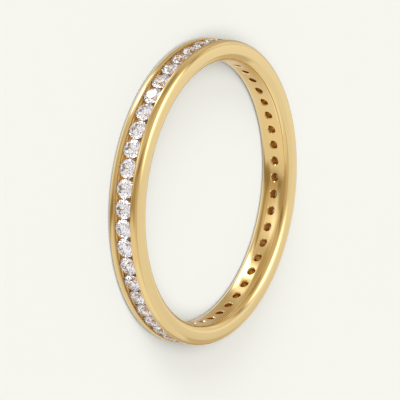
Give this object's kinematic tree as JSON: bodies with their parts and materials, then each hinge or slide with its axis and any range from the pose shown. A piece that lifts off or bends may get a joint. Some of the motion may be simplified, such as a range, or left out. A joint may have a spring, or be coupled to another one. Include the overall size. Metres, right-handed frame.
{
  "type": "channel set band ring",
  "caption": "Slim polished gold band with a full row of small round brilliants held in a channel between two rails, and light holes drilled through to the finger side.",
  "frame": {"origin": "on the finger axis, at the side face that the ring lies on", "axes": "+Z along the finger axis, up out of the surface the ring lies on; +X between two stones"},
  "size_m": [0.02, 0.02, 0.0023],
  "materials": {
    "gold": "polished gold",
    "diamond": "cut and polished"
  },
  "bodies": {
    "root": {"band": "gold", "stones_even": "diamond", "stones_odd": "diamond"}
  },
  "joints": []
}
